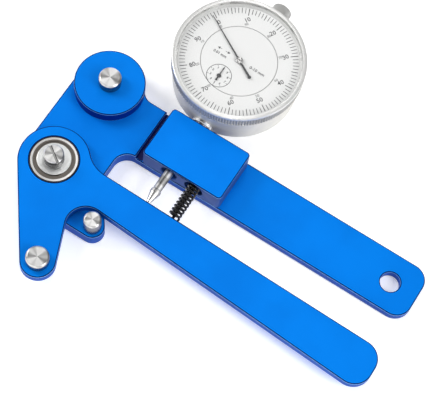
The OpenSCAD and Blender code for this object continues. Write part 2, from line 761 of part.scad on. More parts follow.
module contact_point() {
    cone_l = point_l - 3.2;
    color("silver") along_y(gauge_x, tip_y) {
        translate([0, 0, tip_r]) sphere(r = tip_r);
        translate([0, 0, tip_r]) cylinder(r1 = tip_r, r2 = point_d / 2, h = cone_l - tip_r);
        translate([0, 0, cone_l]) cylinder(d = point_d, h = point_l - cone_l - 0.6);
        translate([0, 0, point_l - 0.6]) cylinder(r1 = point_d / 2, r2 = plunger_d / 2, h = 0.6);
        translate([0, 0, point_l - eps]) cylinder(r = 1.2, h = 4.5);
    }
}

module movement_bridge() {
    color("goldenrod") difference() {
        on_axis(gauge, bridge_z) cylinder(r = bridge_r, h = bridge_t);
        for (p = [gauge, small_hub, takeup_hub])
            on_axis(p, bridge_z - 1) cylinder(r = arbor_r + run_gap, h = bridge_t + 2);
        for (p = pillars) on_axis(gauge + p, bridge_z - 1) cylinder(r = 0.8 + seat_gap, h = bridge_t + 2);
    }
}

module movement_pillars() {
    color("goldenrod") for (p = pillars) on_axis(gauge + p, 0) {
        translate([0, 0, bridge_z + bridge_t]) cylinder(r = pillar_r, h = web_top - web_t - bridge_z - bridge_t);
        translate([0, 0, bridge_z + 0.1]) cylinder(r = 0.8, h = web_top - 0.8 - bridge_z);
    }
}

module rack_arbor() {
    color("silver") on_axis(small_hub, 0) {
        translate([0, 0, axis_z - 3]) cylinder(r = arbor_r, h = small_pointer_z - axis_z + 3);
        translate([0, 0, axis_z - 2.5]) cylinder(r = rack_pinion_r - run_gap, h = 5);
    }
}

// A toothless wheel at its pitch radius, with spokes cut away.
module wheel(r, z) {
    on_axis([0, 0], z) difference() {
        cylinder(r = r, h = wheel_t);
        translate([0, 0, -1]) cylinder(r = arbor_r + seat_gap, h = wheel_t + 2);
        for (a = [0 : 90 : 270]) rotate(a) translate([r * 0.56, 0, -1]) cylinder(r = r * 0.26, h = wheel_t + 2);
    }
}

module rack_wheel() {
    color("gold") on_axis(small_hub, 0) wheel(wheel_r, wheel_z);
}

module centre_arbor() {
    color("silver") on_axis(gauge, 0) {
        translate([0, 0, bridge_z]) cylinder(r = arbor_r, h = pointer_z - bridge_z);
        translate([0, 0, wheel_z - 0.4]) cylinder(r = centre_pinion_r, h = takeup_z + wheel_t - wheel_z + 0.8);
    }
}

module takeup_arbor() {
    color("silver") on_axis(takeup_hub, bridge_z) cylinder(r = arbor_r, h = web_top - web_t - 0.2 - bridge_z);
}

module takeup_wheel() {
    color("gold") on_axis(takeup_hub, 0) wheel(wheel_r, takeup_z);
}

// Flat spiral around the take-up arbor.
module hairspring() {
    turns = 3;
    steps = 24 * turns;
    function spiral(r) = [for (i = [0 : steps]) polar(r + 4 * i / steps, 360 * turns * i / steps)];
    inner = spiral(arbor_r + 0.1);
    outer = spiral(arbor_r + 0.35);
    color("steelblue") on_axis(takeup_hub, takeup_z - 1.2) linear_extrude(height = 0.6)
        polygon(concat(inner, [for (i = [steps : -1 : 0]) outer[i]]));
}

// ---- dial gauge: face ----

module inner_dial() {
    color("white") difference() {
        on_axis(gauge, dial_z) cylinder(r = dial_r, h = dial_t + 0.2);
        on_axis(gauge, dial_z - 1) cylinder(r = arbor_r + clear_gap, h = 4);
        on_axis(small_hub, dial_z - 1) cylinder(r = arbor_r + clear_gap, h = 4);
    }
}

module scale_ring() {
    color("white") on_axis(gauge, ring_z) ring(bezel_bore_r - seat_gap, dial_r + 0.15, dial_t);
}

// A flat tapered hand with a round hub, pointing along +X; the tail has a round weight.
module hand(l, tail, w_root, w_tip, hub_r, bulb_r) {
    linear_extrude(height = hand_t) {
        circle(r = hub_r);
        polygon([[0, -w_root / 2], [l, -w_tip / 2], [l, w_tip / 2], [0, w_root / 2]]);
        polygon([[0, -w_root / 2], [0, w_root / 2], [-tail, w_root * 0.75], [-tail, -w_root * 0.75]]);
        translate([-tail, 0]) circle(r = bulb_r);
    }
}

module small_pointer() {
    color("black") on_axis(small_hub, small_pointer_z) rotate(90) hand(small_pointer_l, 2.4, 0.5, 0.25, 0.9, 0.5);
}

module main_pointer() {
    color("black") on_axis(gauge, pointer_z) rotate(pointer_angle) hand(pointer_l, 9.3, 0.7, 0.25, 1.6, 0.8);
}

module bezel() {
    color("silver") turned([
        [bezel_bore_r, bezel_z0], [bezel_r - 0.4, bezel_z0], [bezel_r, bezel_z0 + 0.4],
        [bezel_r, bezel_z0 + bezel_h * 0.62], [bezel_r - 0.3, bezel_z0 + bezel_h * 0.68],
        [bezel_r - 0.3, bezel_z1 - 0.7], [bezel_r - 0.8, bezel_z1], [crystal_r - 0.3, bezel_z1],
        [crystal_r - 0.3, crystal_z + crystal_t], [crystal_r, crystal_z + crystal_t], [crystal_r, crystal_z],
        [crystal_r - 0.6, crystal_z], [bezel_bore_r - 0.9, dial_face + seat_gap],
        [bezel_bore_r, dial_face + seat_gap], [bezel_bore_r, ring_groove_z + 0.9],
        [bezel_bore_r + 0.5, ring_groove_z + 0.9], [bezel_bore_r + 0.5, ring_groove_z - 0.2],
        [bezel_bore_r, ring_groove_z - 0.2]]);
}

// Wire ring that snaps into the case and keeps the bezel on it.
module bezel_ring() {
    color("gray") on_axis(gauge, ring_groove_z + 0.1) ring(bezel_bore_r + 0.3, rim_r - 0.5, 0.5);
}

module crystal() {
    color([0.9, 0.95, 1, 0.3]) on_axis(gauge, crystal_z) cylinder(r = crystal_r - seat_gap, h = crystal_t - seat_gap);
}

upper_arm();
gauge_block();
block_screws();
stem_grub_screw();
lower_arm();
guide_disc();
post_a();
post_b();
post_c();
arm_post_screws();
leg_post_screw();
pivot_stud();
thrust_washer();
bearing_inner_race();
bearing_outer_race();
bearing_balls();
bearing_cage();
bearing_shields();
cover_washer();
pivot_nut();
main_spring();
spring_guide_pin();
gauge_case();
back_cover();
back_cover_screws();
gauge_stem();
plunger();
contact_point();
plunger_key();
key_guide();
return_spring();
spring_anchor();
top_bush();
top_cap();
movement_bridge();
movement_pillars();
rack_arbor();
rack_wheel();
centre_arbor();
takeup_arbor();
takeup_wheel();
hairspring();
inner_dial();
scale_ring();
small_pointer();
main_pointer();
bezel();
bezel_ring();
crystal();
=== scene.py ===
"""Looks of the spoke tension meter: finishes, broken edges, knurls, the dial and the studio.

All sizes are metres in the CAD model's frame: X runs along the handle, Y across it, Z up.
"""
import math

import bmesh
import bpy
from mathutils import Matrix, Vector


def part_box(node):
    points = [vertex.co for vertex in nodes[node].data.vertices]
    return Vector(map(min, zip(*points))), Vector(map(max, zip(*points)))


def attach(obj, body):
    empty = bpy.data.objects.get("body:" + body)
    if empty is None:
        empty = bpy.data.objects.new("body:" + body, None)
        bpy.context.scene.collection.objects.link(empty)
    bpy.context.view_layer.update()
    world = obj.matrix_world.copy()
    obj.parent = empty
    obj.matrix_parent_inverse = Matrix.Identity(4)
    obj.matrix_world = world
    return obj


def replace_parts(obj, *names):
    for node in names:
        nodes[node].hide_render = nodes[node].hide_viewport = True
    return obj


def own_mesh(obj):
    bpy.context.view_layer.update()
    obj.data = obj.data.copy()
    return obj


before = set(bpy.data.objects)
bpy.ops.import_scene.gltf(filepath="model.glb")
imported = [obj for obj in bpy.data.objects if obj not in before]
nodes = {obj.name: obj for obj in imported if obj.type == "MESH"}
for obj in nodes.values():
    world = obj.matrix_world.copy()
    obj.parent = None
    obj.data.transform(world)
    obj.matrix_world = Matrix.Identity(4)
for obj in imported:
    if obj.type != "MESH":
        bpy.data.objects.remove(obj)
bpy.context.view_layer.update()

ALONG = Vector((1, 0, 0))
ACROSS = Vector((0, 1, 0))
UP = Vector((0, 0, 1))

MM = 0.001
FULL_TURN = 2 * math.pi
MERGE = 1e-7             # points of a new piece closer than this are one
CAD_MERGE = 1e-6         # the same for a copy of a CAD node
CAD_FLAT = 0.4           # degrees within which a CAD node's triangles are one flat face

OUTLINE_BREAK = 0.5 * MM   # broken edges of the arms, the block and the disc
HEAD_BREAK = 0.25 * MM     # of the posts, the nut, the washer and the gauge's case
STEM_BREAK = 0.1 * MM      # of the gauge's stem and bush
SCREW_BREAK = 0.08 * MM    # of the screws

SPRING_COILS = 14
WIRE_R = 0.54 * MM
ROD_R = 2.05 * MM          # the plunger and the neck of its contact point
BEZEL_TEETH = 150
CAP_TEETH = 44

FINE_GRAIN = 0.1 * MM      # of ground and polished steel
COARSE_GRAIN = 0.4 * MM    # of plain metal
CUT_PITCH = 0.08 * MM      # of the rings that a turning tool leaves

INK_T = 0.04 * MM          # thickness of the dial's print
INK_SINK = 0.01 * MM       # how far the print sits in the dial
DIAL_TURN = math.radians(57.2)


# ---------------------------------------------------------------- places of the CAD nodes

def corners(node):
    """The lowest and the highest corner of a node's box."""
    low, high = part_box(node)
    return Vector(low), Vector(high)


def centre_of(node):
    """The middle of a node's box."""
    low, high = corners(node)
    return (low + high) / 2


def foot_of(node, axis):
    """The middle of a node's low end, where its box starts along an axis."""
    foot = centre_of(node)
    index = list(axis).index(1)
    foot[index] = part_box(node)[0][index]
    return foot


def length_of(node, axis):
    """The length of a node's box along an axis."""
    low, high = corners(node)
    return (high - low).dot(axis)


def radius_of(node):
    """The radius of a round node; every round node here shows its full width along X."""
    return length_of(node, ALONG) / 2


def top_of(node):
    """The height of a node's highest point."""
    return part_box(node)[1][2]


# ---------------------------------------------------------------- shader arithmetic

class Signal:
    """A shader socket that takes part in Python arithmetic; each operation adds a Math node."""

    def __init__(self, finish, socket):
        self.finish = finish
        self.socket = socket

    def math(self, operation, *others):
        return self.finish.node("ShaderNodeMath", {"operation": operation}, self, *others)

    def __add__(self, other):
        return self.math("ADD", other)

    def __sub__(self, other):
        return self.math("SUBTRACT", other)

    def __mul__(self, other):
        return self.math("MULTIPLY", other)

    def __radd__(self, other):
        return self + other

    def __rmul__(self, other):
        return self * other

    def __rsub__(self, other):
        return self.finish.node("ShaderNodeMath", {"operation": "SUBTRACT"}, other, self)

    def wave(self):
        return self.math("SINE")

    def ramp(self, low, high):
        """Rises smoothly from 0 to 1 while the signal goes from low to high."""
        return self.finish.node("ShaderNodeMapRange", {"interpolation_type": "SMOOTHSTEP"},
                                self, low, high)


class Finish:
    """One procedural material around a Principled shader."""

    def __init__(self, name, **constants):
        self.material = bpy.data.materials.new(name)
        self.material.use_nodes = True
        self.tree = self.material.node_tree
        self.shader = self.tree.nodes["Principled BSDF"]
        for socket, value in constants.items():
            self.shader.inputs[socket.replace("_", " ")].default_value = value

    def node(self, kind, settings, *values, out=0, **named):
        """Adds a node: its settings first, then the values or signals of its sockets."""
        made = self.tree.nodes.new(kind)
        for setting, value in settings.items():
            setattr(made, setting, value)
        sockets = [(made.inputs[index], value) for index, value in enumerate(values)]
        sockets += [(made.inputs[key.replace("_", " ")], value) for key, value in named.items()]
        for socket, value in sockets:
            self.feed(socket, value)
        return Signal(self, made.outputs[out])

    def feed(self, socket, value):
        """Links a signal to a socket, or sets the socket's own value."""
        if isinstance(value, Signal):
            self.tree.links.new(value.socket, socket)
        else:
            socket.default_value = value

    def place(self):
        return self.node("ShaderNodeTexCoord", {}, out="Object")

    def vector(self, operation, *values, out="Vector", **named):
        return self.node("ShaderNodeVectorMath", {"operation": operation}, *values,
                         out=out, **named)

    def noise(self, at, scale, detail):
        """Cloudy noise; its scale is in clouds per metre."""
        return self.node("ShaderNodeTexNoise", {}, Vector=at, Scale=scale, Detail=detail)

    def line_noise(self, along, scale):
        """Noise that changes only with one number, as a turning tool leaves it."""
        return self.node("ShaderNodeTexNoise", {"noise_dimensions": "1D"},
                         W=along, Scale=scale, Detail=1.0)

    def blend(self, factor, first, second):
        """A colour between two colours; the node's third output is its colour."""
        made = self.node("ShaderNodeMix", {"data_type": "RGBA"}, factor, out=2)
        colours = [socket for socket in made.socket.node.inputs if socket.type == "RGBA"]
        for socket, colour in zip(colours, (first, second)):
            self.feed(socket, colour)
        return made

    def bump(self, height, distance, strength):
        return self.node("ShaderNodeBump", {}, Strength=strength, Distance=distance, Height=height)

    def drive(self, **signals):
        """Feeds signals to the shader's sockets and returns the finished material."""
        for socket, signal in signals.items():
            self.feed(self.shader.inputs[socket.replace("_", " ")], signal)
        return self.material


def srgb(red, green, blue):
    """A linear colour from 8-bit screen values."""
    def linear(value):
        value /= 255
        return value / 12.92 if value <= 0.04045 else ((value + 0.055) / 1.055) ** 2.4
    return (linear(red), linear(green), linear(blue), 1.0)


def darker(colour, share):
    """The colour at a share of its brightness."""
    return tuple(share * channel for channel in colour[:3]) + (1.0,)


# ---------------------------------------------------------------- kinds of finish

def anodised(name, colour, deep, metallic=0.3, gloss=0.06):
    """Satin anodised aluminium: fine blasted grain under a clear dyed skin."""
    finish = Finish(name, Metallic=metallic, Specular_IOR_Level=gloss)
    place = finish.place()
    grain = finish.noise(place, scale=4200.0, detail=2.0)
    cloud = finish.noise(place, scale=34.0, detail=3.0)
    return finish.drive(
        Base_Color=finish.blend(cloud.ramp(low=0.3, high=0.75), colour, deep),
        Roughness=0.36 + 0.10 * grain + 0.05 * cloud,
        Normal=finish.bump(grain, distance=0.03 * MM, strength=0.25),
    )


def angle_about(finish, radial, axis):
    """The angle about an axis, counted from X."""
    split = finish.node("ShaderNodeSeparateXYZ", {}, radial)
    second = split.socket.node.outputs["Y" if axis == UP else "Z"]
    return finish.node("ShaderNodeMath", {"operation": "ARCTAN2"}, Signal(finish, second), split)


def face_wedges(angle):
    """Painted reflections: light and dark wedges put into the colour, as the end face of a turned
    head throws them.
    """
    wedges = (2.0 * angle + 0.9).wave() * 0.5
    wedges = wedges + (5.0 * angle + 2.2).wave() * 0.3 + (3.0 * angle).wave() * 0.2
    return wedges.ramp(low=-0.3, high=0.75)


def rod_bands(angle):
    """Painted reflections and shade along a polished rod: dark bands at the middle and the sides,
    and one greyer half.
    """
    bands = (5.0 * angle).wave().ramp(low=0.1, high=0.7)
    half = (angle - math.pi / 2).wave().ramp(low=-0.15, high=0.15)
    return bands * 0.7 + half * 0.35


def turned(name, axis_point, axis, colour, groove=0.3, rough=0.27, metallic=1.0, shimmer=0.0):
    """Lathe-turned metal: fine rings about an axis tilt the surface along the cut.

    The axis is UP or ACROSS. The argument shimmer is how strongly painted reflections and shade go
    into the colour: light and dark wedges on a face seen end on, or bands along a rod.
    """
    finish = Finish(name, Metallic=metallic)
    place = finish.place()
    offset = finish.vector("SUBTRACT", place, axis_point)
    along = finish.vector("DOT_PRODUCT", offset, axis, out="Value")
    inward = finish.vector("SCALE", tuple(axis), Scale=along)
    radial = finish.vector("SUBTRACT", offset, inward)
    radius = finish.vector("LENGTH", radial, out="Value")
    rings = finish.line_noise(radius, scale=1.0 / CUT_PITCH) - 0.5
    threads = finish.line_noise(along, scale=1.0 / CUT_PITCH) - 0.5
    outward = finish.vector("SCALE", finish.vector("NORMALIZE", radial),
                            Scale=rings * (4.0 * groove))
    upward = finish.vector("SCALE", tuple(axis), Scale=threads * (2.0 * groove))
    tilt = finish.node("ShaderNodeVectorTransform",
                       {"vector_type": "VECTOR", "convert_from": "OBJECT", "convert_to": "WORLD"},
                       finish.vector("ADD", outward, upward))
    normal = finish.node("ShaderNodeNewGeometry", {}, out="Normal")
    cloud = finish.noise(place, scale=220.0, detail=2.0)
    shade = cloud * 0.2
    # shade is random cloudy tone, plus painted reflections and shade from the wedges or bands
    if shimmer:
        angle = angle_about(finish, radial, axis)
        shade = shade + (face_wedges(angle) if axis == UP else rod_bands(angle)) * shimmer
    return finish.drive(
        Base_Color=finish.blend(shade, colour, darker(colour, 0.2)),
        Roughness=rough + 0.08 * cloud,
        Normal=finish.vector("NORMALIZE", finish.vector("ADD", normal, tilt)),
    )


def plain_metal(name, colour, rough, grain_size=COARSE_GRAIN, metallic=1.0):
    """Metal with a fine even grain and a little unevenness in its shine."""
    finish = Finish(name, Metallic=metallic)
    place = finish.place()
    grain = finish.noise(place, scale=1.0 / grain_size, detail=2.0)
    cloud = finish.noise(place, scale=120.0, detail=3.0)
    return finish.drive(
        Base_Color=finish.blend(cloud, colour, darker(colour, 0.8)),
        Roughness=rough + 0.12 * (cloud - 0.5) + 0.06 * grain,
        Normal=finish.bump(grain, distance=0.02 * MM, strength=0.1),
    )


def printed(name, colour, rough=0.55, glow=0.0):
    """Matt print or paint with a faint tooth; a lit table glows a little from below."""
    finish = Finish(name, Specular_IOR_Level=0.35,
                    Emission_Color=(1.0, 1.0, 1.0, 1.0), Emission_Strength=glow)
    place = finish.place()
    tooth = finish.noise(place, scale=3000.0, detail=2.0)
    return finish.drive(
        Base_Color=finish.blend(tooth.ramp(low=0.3, high=0.8), colour, darker(colour, 0.96)),
        Roughness=rough + 0.08 * tooth,
    )


def clear_crystal():
    """Thin clear crystal: mostly see-through, with a polished face."""
    finish = Finish("clear crystal", Base_Color=(0.9, 0.93, 0.95, 1.0),
                    Roughness=0.10, IOR=1.25, Alpha=0.03)
    return finish.material


# ---------------------------------------------------------------- finishes used on many pieces

bare_steel = plain_metal("bright steel", (0.66, 0.65, 0.64, 1.0), rough=0.24)
black_oxide = plain_metal("black oxide", (0.035, 0.035, 0.038, 1.0), rough=0.38, metallic=0.6)
# painted shade: near-black, for dark pieces that stand in for shade in gaps
painted_gap_shade = plain_metal("dark seat gap", (0.01, 0.01, 0.012, 1.0), rough=0.5, metallic=0.2)
spring_wire = plain_metal("dark spring wire", (0.007, 0.007, 0.008, 1.0), rough=0.16, metallic=0.4)
brass = plain_metal("plain brass", (0.76, 0.56, 0.26, 1.0), rough=0.28)
black_hand = plain_metal("black hand", (0.02, 0.02, 0.022, 1.0), rough=0.35, metallic=0.3)
race_steel = turned("ground bearing steel", centre_of("bearing_outer_race"), UP,
                    (0.86, 0.85, 0.84, 1.0), groove=0.10, rough=0.28)
shield_steel = turned("pressed shield", centre_of("bearing_outer_race"), UP,
                      (0.19, 0.17, 0.15, 1.0), groove=0.12, rough=0.32)
# painted reflections and shade: bright and dark bands along the stem, bush and collar, put into the
# colour
stem_steel = turned("turned stem", centre_of("gauge_stem"), ACROSS,
                    (0.95, 0.96, 0.99, 1.0), groove=0.0, rough=0.2, metallic=0.6, shimmer=1.0)
white = printed("white dial", srgb(227, 227, 226))
ink = printed("black ink", (0.035, 0.035, 0.038, 1.0), rough=0.5)
pale_ink = printed("grey ink", (0.22, 0.22, 0.22, 1.0), rough=0.5)


# ---------------------------------------------------------------- shaping helpers

def piece(name, mesh, body, slot, *materials, sharp_angle=32):
    """Makes a finished piece of a bmesh: smooth but for its sharp edges, on its body."""
    data = bpy.data.meshes.new(name)
    mesh.to_mesh(data)
    mesh.free()
    for face in data.polygons:
        face.use_smooth = True
    data.set_sharp_from_angle(angle=math.radians(sharp_angle))
    for material in materials:
        data.materials.append(material)
    made = bpy.data.objects.new(name, data)
    bpy.context.scene.collection.objects.link(made)
    even = made.modifiers.new("even shading", "WEIGHTED_NORMAL")
    even.keep_sharp = True
    even.weight = 100
    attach(made, body)
    return made


def merged_copy(node):
    """A copy of a CAD node's mesh with its triangles merged and its flat faces whole."""
    mesh = bmesh.new()
    mesh.from_mesh(nodes[node].data)
    bmesh.ops.remove_doubles(mesh, verts=mesh.verts, dist=CAD_MERGE)
    bmesh.ops.dissolve_limit(mesh, angle_limit=math.radians(CAD_FLAT),
                             verts=mesh.verts, edges=mesh.edges)
    mesh.normal_update()
    return mesh


def paint_walls(mesh, steepness, index):
    """Gives a material's index to the faces whose normal rises less than steepness; the material it
    marks is painted shade on upright walls.
    """
    for face in mesh.faces:
        if abs(face.normal.z) < steepness:
            face.material_index = index


def sharp_edges(mesh, angle):
    """The edges where two faces meet at more than an angle in degrees."""
    return [edge for edge in mesh.edges
            if len(edge.link_faces) == 2 and edge.calc_face_angle() > math.radians(angle)]


def break_edges(mesh, edges, width, segments, clamp=True):
    """Bevels some edges and returns the bevel's faces."""
    rounded = bmesh.ops.bevel(mesh, geom=edges, offset=width, offset_type="OFFSET",
                              segments=segments, profile=0.5, affect="EDGES",
                              clamp_overlap=clamp, material=-1)
    mesh.normal_update()
    return rounded["faces"]


def softened(node, body, slot, material, width, wall=None):
    """The CAD node with all its sharp edges broken; upright walls may get a darker finish of their
    own, painted shade.
    """
    mesh = merged_copy(node)
    if wall:
        paint_walls(mesh, steepness=0.3, index=1)
    break_edges(mesh, sharp_edges(mesh, angle=35), width, segments=2)
    materials = [material, wall] if wall else [material]
    made = piece(node + "_soft_edges", mesh, body, slot, *materials)
    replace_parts(made, node)


def mirrored(half, length):
    """A profile of (radius, height) points with the same shape at both ends of its length."""
    return half + [(radius, length - height) for radius, height in reversed(half)]


def spun(profile, centre, axis, steps):
    """Spins (radius, height) points round an axis; the height runs along the axis."""
    mesh = bmesh.new()
    points = [mesh.verts.new(centre + ALONG * radius + axis * height) for radius, height in profile]
    edges = [mesh.edges.new(pair) for pair in zip(points, points[1:] + points[:1])]
    bmesh.ops.spin(mesh, geom=points + edges, cent=centre, axis=axis, angle=FULL_TURN, steps=steps,
                   use_merge=True, use_duplicate=False)
    bmesh.ops.remove_doubles(mesh, verts=mesh.verts, dist=MERGE)
    bmesh.ops.recalc_face_normals(mesh, faces=mesh.faces)
    return mesh


def knurl(mesh, centre, axis, teeth, low, high, depth, inner=0.0):
    """Draws every second row of a spun band inwards, which leaves straight teeth."""
    side = axis.cross(ALONG)
    for vert in mesh.verts:
        offset = vert.co - centre
        height = offset.dot(axis)
        radial = offset - axis * height
        if low < height < high and radial.length > inner:
            angle = math.atan2(radial.dot(side), radial.dot(ALONG)) % FULL_TURN
            if round(angle * teeth / math.pi) % 2:
                vert.co -= radial.normalized() * depth


def merge_into(target, source):
    """Adds one bmesh to another."""
    data = bpy.data.meshes.new("join")
    source.to_mesh(data)
    source.free()
    target.from_mesh(data)
    bpy.data.meshes.remove(data)


def plate(size_x, size_y, thickness, matrix):
    """A thin flat plate, centred on the matrix's place."""
    mesh = bmesh.new()
    size = Matrix.Diagonal((size_x, size_y, thickness, 1.0))
    bmesh.ops.create_cube(mesh, size=1.0, matrix=matrix @ size)
    return mesh


def lettering(text, height, matrix):
    """Printed numbers as a thin solid mesh, centred on the matrix's place."""
    curve = bpy.data.curves.new("number", "FONT")
    curve.body = text
    curve.size = height
    curve.align_x = "CENTER"
    curve.align_y = "CENTER"
    curve.extrude = INK_T / 2
    curve.offset = 0.03 * MM      # bolder strokes
    curve.resolution_u = 2
    holder = bpy.data.objects.new("number", curve)
    bpy.context.scene.collection.objects.link(holder)
    evaluated = holder.evaluated_get(bpy.context.evaluated_depsgraph_get())
    data = bpy.data.meshes.new_from_object(evaluated)
    bpy.data.objects.remove(holder)
    bpy.data.curves.remove(curve)
    mesh = bmesh.new()
    mesh.from_mesh(data)
    bpy.data.meshes.remove(data)
    bmesh.ops.remove_doubles(mesh, verts=mesh.verts, dist=MERGE)
    bmesh.ops.transform(mesh, matrix=matrix, verts=mesh.verts)
    return mesh


# ---------------------------------------------------------------- arms, block and disc

def on_outline(edge):
    """True for an edge between a level face and an upright wall."""
    rises = [abs(face.normal.z) for face in edge.link_faces]
    return max(rises) > 0.99 and min(rises) < 0.01


def blue_piece(node, body, top, edge, wall, glint):
    """A blue CAD node with its outline broken by a narrow bevel.

    The walls get a darker finish, painted shade; the bevel's flatter part gets a dark one, painted
    shade along the edges, and its steep part a pale one, the painted glint.
    """
    edge_index, wall_index, glint_index = 1, 2, 3
    glint_steepness = 0.65
    mesh = merged_copy(node)
    # painted shade: upright walls take the darker wall material
    paint_walls(mesh, steepness=0.9, index=wall_index)
    outline = [line for line in sharp_edges(mesh, angle=60) if on_outline(line)]
    # steeper bevel faces get the painted highlight, flatter ones the painted shade
    for face in break_edges(mesh, outline, OUTLINE_BREAK, segments=3, clamp=False):
        steep = abs(face.normal.z) < glint_steepness
        face.material_index = glint_index if steep else edge_index
    made = piece(node + "_soft_edges", mesh, body, "blue_anodised", top, edge, wall, glint)
    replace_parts(made, node)


def arms_block_and_disc():
    """Both arms, the clamp block and the disc under the first post."""
    top = anodised("satin blue anodising", srgb(0, 127, 233), srgb(0, 118, 221))
    # painted shade: the flatter faces of every edge bevel are dark blue
    edge = anodised("deeper blue edges", srgb(0, 30, 96), srgb(0, 26, 86), metallic=0.0, gloss=0.02)
    # painted highlight: the steep faces of every edge bevel are pale blue
    glint = anodised("bright cut below the edge", srgb(140, 190, 245), srgb(120, 176, 238),
                     metallic=0.3, gloss=0.3)
    # painted shade: the upright walls are darker copies of the top's blue
    arm_wall_shade = anodised("milled blue walls", srgb(0, 78, 176), srgb(0, 68, 158), metallic=0.1)
    block_wall_shade = anodised("block walls", srgb(52, 84, 150), srgb(44, 74, 138), metallic=0.2)
    disc_rim_shade = anodised("disc rim", srgb(0, 40, 140), srgb(0, 34, 124), metallic=0.1)
    for node, body, wall in (("upper_arm", "frame", arm_wall_shade), ("gauge_block", "frame", block_wall_shade),
                             ("guide_disc", "frame", disc_rim_shade), ("lower_arm", "lever", arm_wall_shade)):
        blue_piece(node, body, top, edge, wall, glint)


def relief_groove():
    """A thin dark blue sheet of painted shade on the floor of the groove between the head's step
    and the block.
    """
    low, high = corners("gauge_block")
    width = 3.1 * MM
    clearance = 0.05 * MM
    end_gap = 0.6 * MM
    floor_t = 0.06 * MM
    middle = Vector((low.x - width / 2 - clearance, (low.y + high.y) / 2, low.z + floor_t / 2))
    groove_shade_colour = printed("deep blue relief", srgb(0, 12, 90), rough=0.6)
    floor = plate(width, high.y - low.y - 2 * end_gap, floor_t, Matrix.Translation(middle))
    piece("relief_groove_floor", floor, "frame", "blue_anodised", groove_shade_colour)


# ---------------------------------------------------------------- posts, pivot and screws

def posts_nut_and_washer():
    """The bright washer, the three posts and the round nut, each turned about its own axis."""
    washer_steel = turned("bright washer", centre_of("cover_washer"), UP, (0.98, 0.99, 0.98, 1.0),
                          groove=0.10, rough=0.26)
    softened("cover_washer", "frame", "turned_steel", washer_steel, HEAD_BREAK)
    # painted shade: the walls of the posts and the nut are much darker than their tops
    post_wall_shade = plain_metal("ground post walls", (0.22, 0.22, 0.23, 1.0), rough=0.22,
                            grain_size=FINE_GRAIN)
    nut_wall_shade = plain_metal("dark nut wall", (0.05, 0.05, 0.05, 1.0), rough=0.25,
                           grain_size=FINE_GRAIN)
    for node, body, wall in (("post_a", "frame", post_wall_shade), ("post_b", "frame", post_wall_shade),
                             ("post_c", "lever", post_wall_shade), ("pivot_nut", "frame", nut_wall_shade)):
        # painted reflections: light and dark wedges on the tops of the posts and the nut, put into
        # the colour
        steel = turned("turned steel of " + node, centre_of(node), UP, (0.95, 0.94, 0.93, 1.0),
                       shimmer=0.85)
        softened(node, body, "turned_steel", steel, HEAD_BREAK, wall)


def bearing():
    """The bearing's ground outer ring, its shield's crimp and a black ring of painted shade round
    its seat.
    """
    foot = foot_of("bearing_outer_race", UP)
    race_r = radius_of("bearing_outer_race")
    race_w = length_of("bearing_outer_race", UP)
    shield_r = radius_of("bearing_shields")

    lip = 0.1 * MM
    rim = 0.4 * MM
    ring = spun(mirrored([
        (shield_r, lip), (shield_r + lip, 0), (race_r - rim, 0),
        (race_r - 0.1 * MM, 0.15 * MM), (race_r, rim),
    ], race_w), foot, UP, steps=96)
    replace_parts(piece("ground_outer_race", ring, "lever", "bearing_steel", race_steel),
                "bearing_outer_race")

    crimp_in, crimp_out = 8.7 * MM, 9.5 * MM
    crimp = spun([
        (crimp_in, race_w - 0.05 * MM), (crimp_out, race_w - 0.05 * MM),
        (crimp_out, race_w + 0.03 * MM), (crimp_out - 0.3 * MM, race_w + 0.05 * MM),
        (crimp_in, race_w + 0.03 * MM),
    ], foot, UP, steps=96)
    piece("shield_crimp", crimp, "lever", "bearing_steel", shield_steel)

    # painted shade: a thin black ring where the seat's edge falls dark
    gap_in, gap_out = race_r - 0.50 * MM, race_r - 0.02 * MM
    gap = spun([
        (gap_in, race_w - 0.05 * MM), (gap_out, race_w - 0.50 * MM),
        (gap_out, race_w), (gap_in, race_w + 0.02 * MM),
    ], foot, UP, steps=96)
    piece("bearing_seat_gap", gap, "lever", "black_screws", painted_gap_shade)


def black_screws():
    """The countersunk screws and the grub screw."""
    for node in ("arm_post_screws", "leg_post_screw", "block_screws", "stem_grub_screw"):
        body = "lever" if node == "leg_post_screw" else "frame"
        softened(node, body, "black_screws", black_oxide, SCREW_BREAK)


def nut_slot_and_thread():
    """The pale floor of the nut's slot, a black strip of painted shade along its far side, and the
    crests of its thread.
    """
    foot = foot_of("pivot_nut", UP)
    nut_r = radius_of("pivot_nut")
    slot_l, slot_w = 2 * nut_r - 0.9 * MM, 1.08 * MM
    slot_depth, floor_t = 0.28 * MM, 0.06 * MM
    slot_turn = math.radians(-35)
    floor = (Matrix.Translation(foot + UP * (length_of("pivot_nut", UP) - slot_depth))
             @ Matrix.Rotation(slot_turn, 4, "Z"))
    slot_steel = plain_metal("slot floor steel", (0.42, 0.42, 0.41, 1.0), rough=0.4)
    piece("pivot_nut_slot_floor", plate(slot_l, slot_w, floor_t, floor),
          "frame", "turned_steel", slot_steel)
    # painted shade: a black strip along the slot's far side
    shade_w, shade_t, shade_offset = 0.30 * MM, 0.10 * MM, 0.38 * MM
    far_side = floor @ Matrix.Translation((0, shade_offset, 0))
    piece("pivot_nut_slot_edge", plate(slot_l, shade_w, shade_t, far_side),
          "frame", "black_screws", painted_gap_shade)

    root, crest = nut_r - 0.2 * MM, nut_r + 0.08 * MM
    thread_pitch, half_ridge = 1.0 * MM, 0.22 * MM
    threads = bmesh.new()
    for turn in range(3):
        height = (0.5 + turn) * thread_pitch
        merge_into(threads, spun([
            (root, height - half_ridge), (crest, height), (root, height + half_ridge),
        ], foot, UP, steps=64))
    piece("pivot_nut_thread_lines", threads, "frame", "turned_steel", slot_steel)


# ---------------------------------------------------------------- main spring

